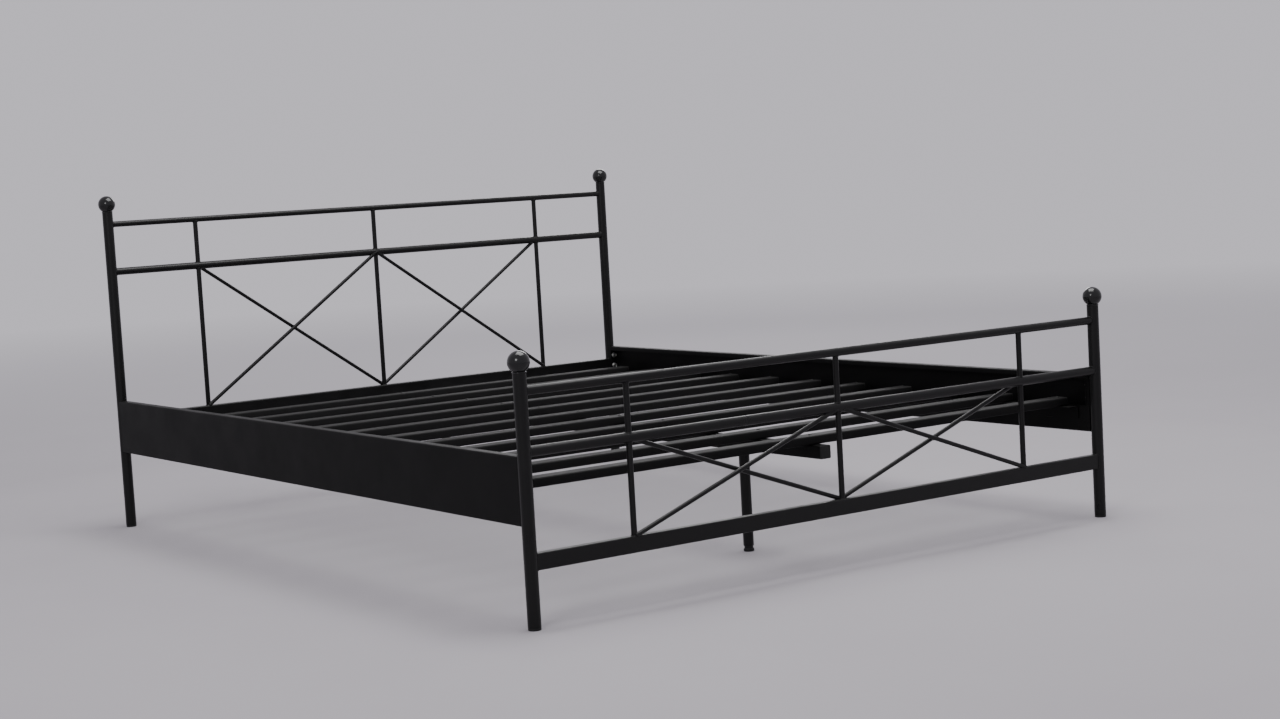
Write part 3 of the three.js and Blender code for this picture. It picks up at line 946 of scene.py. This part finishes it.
def build_levelling_foot(end):
    """Levelling foot: knurled plastic disc with a neck, on a stud with a rolled thread."""
    node = f"levelling_foot_{end}_end"
    body = body_of_node(node)
    axis = Vector((0, middle(node).y, 0))
    radius = size(node).x / 2
    groove = 0.35 * MM

    def knurled(angle):
        return radius - groove * (0.5 + 0.5 * math.cos(FOOT_KNURLS * angle))

    levels = [
        (circle(radius - 4 * MM), 0.4 * MM),
        (circle(radius - 3.4 * MM), 0.0),
        (circle(radius - 1.2 * MM), 0.0),
        (circle(radius - groove), 1.0 * MM),
        (circle(radius - groove), 1.6 * MM),
        (knurled, 2.0 * MM),
        (knurled, FOOT_DISC_TOP - 1.6 * MM),
        (circle(radius - 0.6 * MM), FOOT_DISC_TOP - 1.0 * MM),
        (circle(radius - 1.0 * MM), FOOT_DISC_TOP),
        (circle(FOOT_NECK_RADIUS), FOOT_DISC_TOP),
        (circle(FOOT_NECK_RADIUS), FOOT_NECK_TOP - 1.0 * MM),
        (circle(FOOT_NECK_RADIUS - 1.0 * MM), FOOT_NECK_TOP),
    ]
    disc = shaped_rings(levels, 4 * FOOT_KNURLS, axis, Z_AXIS)
    add_piece(f"{node}_disc", [disc], "black_plastic", body, [node])
    stud = threaded_stud(axis, FOOT_NECK_TOP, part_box(node)[1].z)
    add_piece(f"{node}_stud", [stud], "zinc_steel", body, sharp=60)


def threaded_stud(axis, low, high, per_turn=8):
    """Upright stud whose skin winds up as a thread."""
    count = int((high - low) / THREAD_PITCH * per_turn)
    rings = []
    for k in range(count + 1):
        z = low + (high - low) * k / count
        corners = []
        for side in range(SMALL_SIDES):
            turn = side / SMALL_SIDES
            phase = (z / THREAD_PITCH - turn) % 1.0
            reach = THREAD_RADIUS - THREAD_DEPTH * abs(2 * phase - 1)
            angle = 2 * math.pi * turn
            corners.append(axis + Vector((reach * math.cos(angle), reach * math.sin(angle), z)))
        rings.append(corners)
    return loft(rings)


def build_slats():
    """Rectangular steel slats with plugged ends and a screw over each support."""
    supports = (middle("slat_ledge_left").x, 0.0, middle("slat_ledge_right").x)
    names = sorted(name for name in frame["nodes"] if name.startswith("slat_") and name[5:].isdigit())
    plugs, screws = [], []
    for node in names:
        plugs += build_slat(node)
        centre, top = middle(node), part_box(node)[1].z
        screws += [button_screw(Vector((x, centre.y, top)), Z_AXIS) for x in supports]
    add_piece("slat_end_plugs", plugs, "black_plastic", "frame")
    add_piece("slat_screws", screws, "frame_black", "frame")


def build_slat(node):
    """Tube of one slat. Gives the plugs for its ends."""
    centre = middle(node)
    length, width, height = size(node)

    def place(sideways, up, along):
        return centre + Vector((along, sideways, up))

    tube = box_tube(width, height, SLAT_CORNER, SLAT_WALL, place, -length / 2, length / 2)
    add_piece(f"{node}_tube", [tube], "slat_black", "frame", [node])
    return [end_plug(width, height, SLAT_CORNER, place, side * length / 2, side) for side in (-1, 1)]


# ---- studio ----------------------------------------------------------------------------------------

def pale_floor():
    """Pale floor with a very soft mottle. Far from the bed its colour fades to black and it glows in the
    surround's colour, a painted glow in place of light, so that it melts into the surround.
    """
    shader = Shader("studio_floor")
    mottle = shader.noise(1.3, 4.0, 0.6)
    near = shader.mix(mottle, (0.335, 0.320, 0.340, 1.0), (0.365, 0.350, 0.370, 1.0))
    distance = shader.node("ShaderNodeVectorMath", {"operation": "LENGTH"}, Vector=shader.place)
    # painted glow: with distance the floor's colour fades to black and an emission in the surround's
    # colour takes over, standing in for light
    far = shader.spread(distance.outputs["Value"], 2.4, 11.0)
    far = shader.maths("POWER", far, 0.7)
    base = shader.mix(far, near, (0.0, 0.0, 0.0, 1.0))
    painted_glow = shader.maths("MULTIPLY", far, SKY_STRENGTH)
    return shader.finish(Base_Color=base, Roughness=0.9, Specular_IOR_Level=0.0,
                         Emission_Color=SKY, Emission_Strength=painted_glow)


def build_studio():
    """Floor, soft lights and a pale surround."""
    corners = [(x * FLOOR_HALF, y * FLOOR_HALF, 0) for x, y in ((-1, -1), (1, -1), (1, 1), (-1, 1))]
    mesh = bpy.data.meshes.new("floor")
    mesh.from_pydata(corners, [], [(0, 1, 2, 3)])
    mesh.materials.append(pale_floor())
    floor = bpy.data.objects.new("floor", mesh)
    bpy.context.scene.collection.objects.link(floor)

    for name, (place, aim, width, power) in LIGHTS.items():
        lamp = bpy.data.lights.new(name, "AREA")
        lamp.shape = "SQUARE"
        lamp.size = width
        lamp.energy = power
        light = bpy.data.objects.new(name, lamp)
        light.location = place
        light.rotation_mode = "QUATERNION"
        light.rotation_quaternion = (Vector(aim) - Vector(place)).to_track_quat("-Z", "Y")
        bpy.context.scene.collection.objects.link(light)

    world = bpy.data.worlds.new("surround")
    world.use_nodes = True
    background = world.node_tree.nodes["Background"]
    background.inputs["Color"].default_value = SKY
    background.inputs["Strength"].default_value = SKY_STRENGTH
    bpy.context.scene.world = world


def build_camera():
    """Camera level with the head finials, off the left-hand corner of the bed's foot."""
    data = bpy.data.cameras.new("camera")
    data.sensor_width = 36.0
    data.lens = CAMERA_LENS
    data.clip_start = 0.1
    data.clip_end = 200.0
    camera = bpy.data.objects.new("camera", data)
    view = Vector((
        -math.sin(CAMERA_AZIMUTH) * math.cos(CAMERA_ELEVATION),
        math.cos(CAMERA_AZIMUTH) * math.cos(CAMERA_ELEVATION),
        -math.sin(CAMERA_ELEVATION),
    ))
    camera.location = CAMERA_PLACE
    camera.rotation_mode = "QUATERNION"
    camera.rotation_quaternion = view.to_track_quat("-Z", "Y") @ Quaternion((0, 0, 1), CAMERA_ROLL)
    bpy.context.scene.collection.objects.link(camera)
    bpy.context.scene.camera = camera


# ---- the whole bed ----------------------------------------------------------------------------------

build_camera()
for board_end in ENDS:
    build_posts(board_end)
    build_board(board_end)
    build_leg(board_end)
    build_levelling_foot(board_end)
for side_hand in HANDS:
    build_side_rail(side_hand)
    build_ledge(side_hand)
for board_end in ENDS:
    for side_hand in HANDS:
        for bolt_level in ("lower", "upper"):
            build_bolt(board_end, side_hand, bolt_level)
build_beam()
build_slats()
build_studio()
